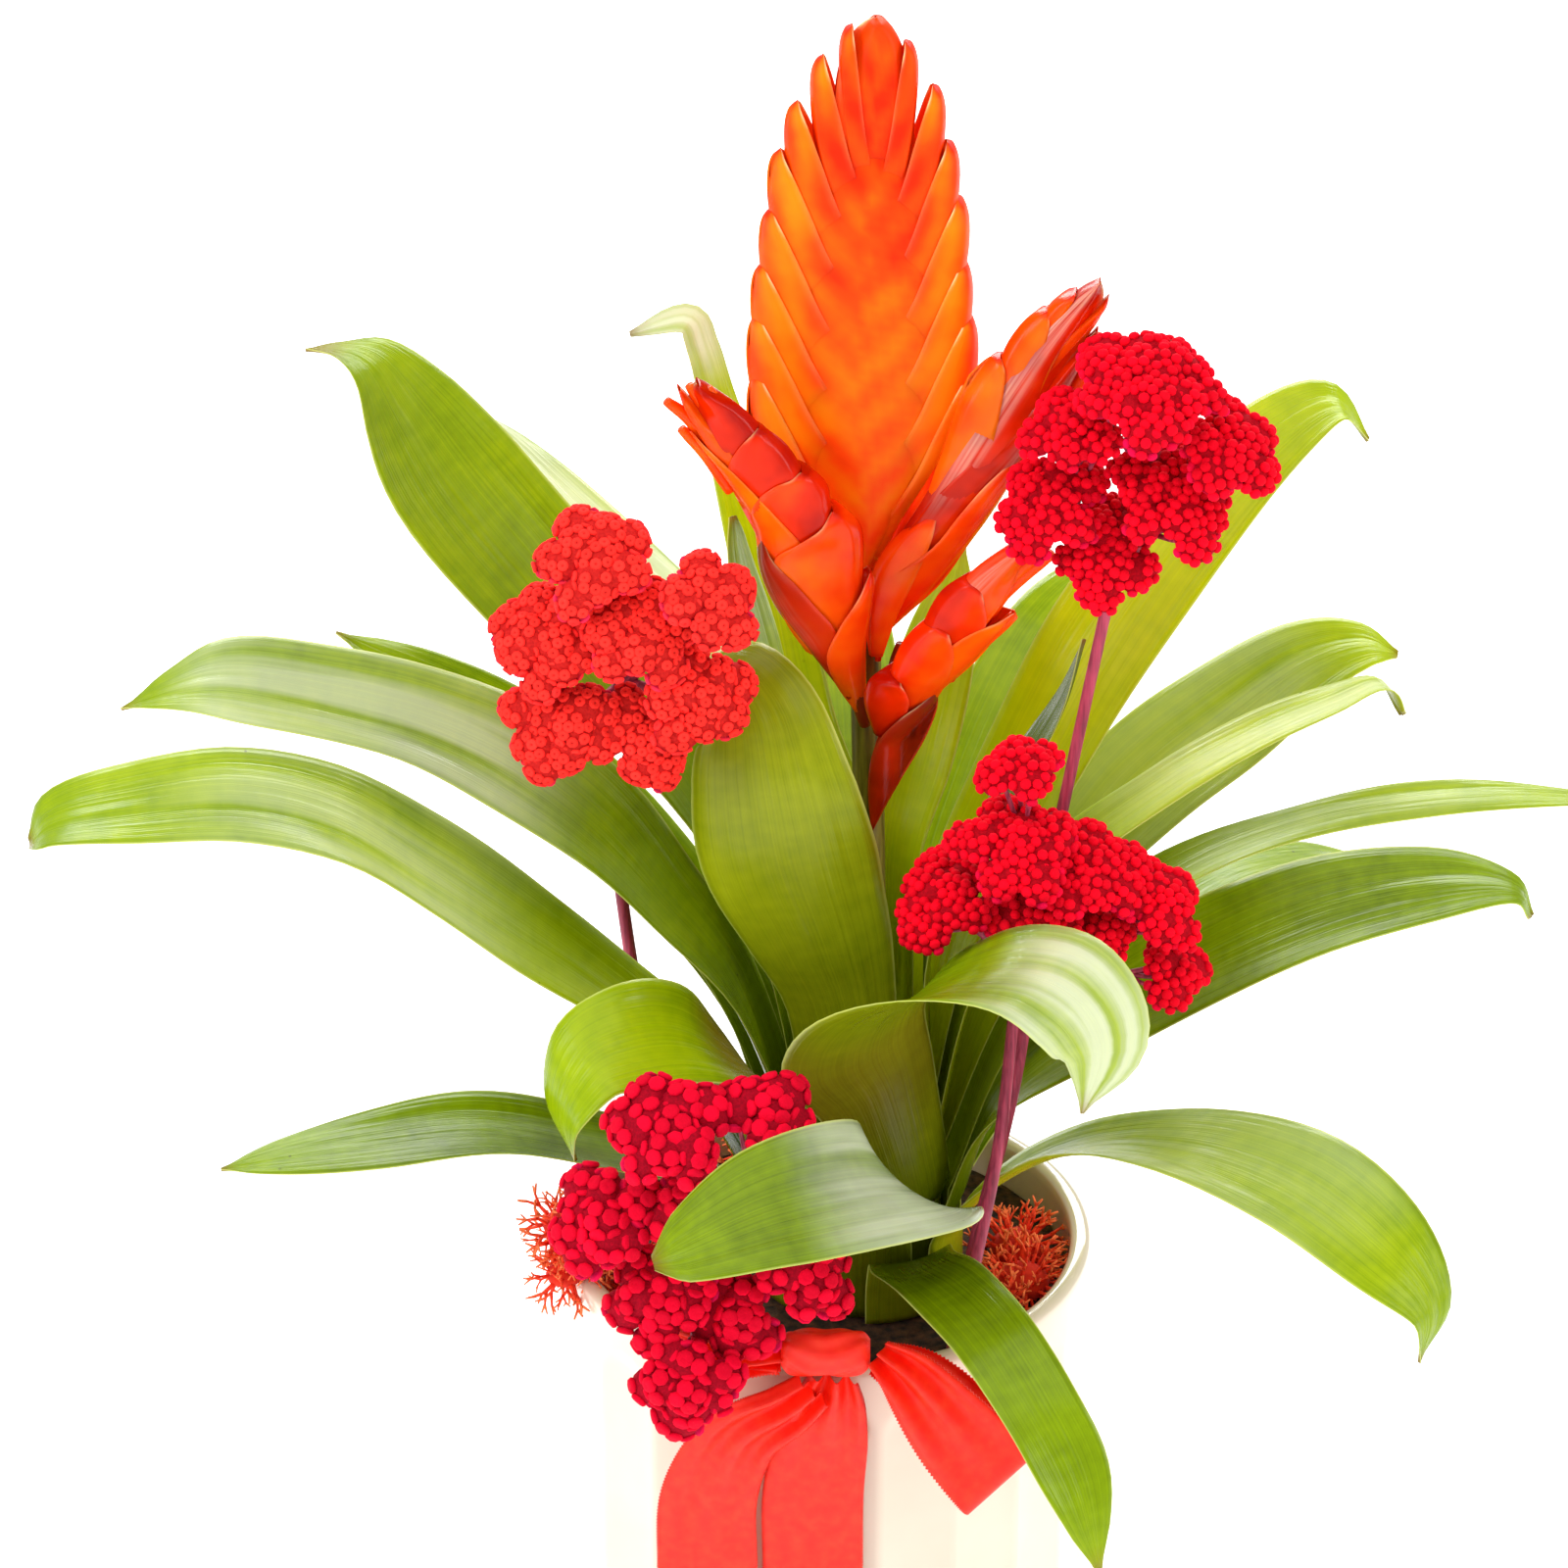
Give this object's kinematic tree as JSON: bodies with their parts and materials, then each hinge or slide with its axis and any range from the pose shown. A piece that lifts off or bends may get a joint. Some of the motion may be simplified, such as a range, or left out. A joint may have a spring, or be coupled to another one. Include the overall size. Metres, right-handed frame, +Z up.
{
  "type": "potted bromeliad arrangement",
  "caption": "Sword-spike bromeliad with strap leaves, dyed yarrow heads, red moss and a satin bow in a straight fluted ceramic pot.",
  "frame": {"origin": "middle of the pot's flat base", "axes": "+Z up along the pot's axis; the front, where the bow hangs, faces -Y; +X is the viewer's right"},
  "size_m": [0.4066, 0.2903, 0.471],
  "materials": {
    "pot_glaze": "glossy cream glaze",
    "potting_soil": "loose and matt",
    "leaf": "smooth green, satin sheen",
    "plant_stem": "smooth brown-green",
    "bract": "smooth orange to red, satin",
    "yarrow_stem": "dyed purple-red, matt",
    "yarrow_floret": "dyed red, matt",
    "moss": "dyed red, matt",
    "satin_ribbon": "red satin"
  },
  "bodies": {
    "root": {"pot": "pot_glaze", "soil": "potting_soil", "rosette_stem": "plant_stem", "leaf_left_low": "leaf", "leaf_front_right_hanging": "leaf", "leaf_back_low": "leaf", "leaf_right_low": "leaf", "leaf_left_under": "leaf", "leaf_back_right_low": "leaf", "leaf_front_left_over": "leaf", "leaf_right_big": "leaf", "leaf_back_left_high": "leaf", "leaf_left_big": "leaf", "leaf_front_left_curled": "leaf", "leaf_right_long": "leaf", "leaf_back_mid": "leaf", "leaf_front_right_curled": "leaf", "leaf_back_right_mid": "leaf", "leaf_front_upright": "leaf", "leaf_right_broad": "leaf", "leaf_left_slim": "leaf", "leaf_left_arching": "leaf", "leaf_right_folded": "leaf", "leaf_left_tall": "leaf", "leaf_right_tall": "leaf", "leaf_left_narrow": "leaf", "leaf_right_dark": "leaf", "leaf_back_left_tall": "leaf", "leaf_back_right_upright": "leaf", "leaf_left_dark": "leaf", "flower_stalk": "plant_stem", "spike_main": "bract", "spike_left": "bract", "spike_right_upper": "bract", "spike_right_lower": "bract", "yarrow_stem_upper_left": "yarrow_stem", "yarrow_head_upper_left": "yarrow_floret", "yarrow_stem_upper_right": "yarrow_stem", "yarrow_head_upper_right": "yarrow_floret", "yarrow_stem_middle_right": "yarrow_stem", "yarrow_head_middle_right": "yarrow_floret", "yarrow_stem_lower_left": "yarrow_stem", "yarrow_head_lower_left": "yarrow_floret", "moss_right": "moss", "moss_left": "moss", "moss_back": "moss", "ribbon_knot": "satin_ribbon", "ribbon_tail_left": "satin_ribbon", "ribbon_tail_right": "satin_ribbon", "ribbon_loop_left": "satin_ribbon", "ribbon_loop_right": "satin_ribbon", "ribbon_strap": "satin_ribbon"}
  },
  "joints": []
}
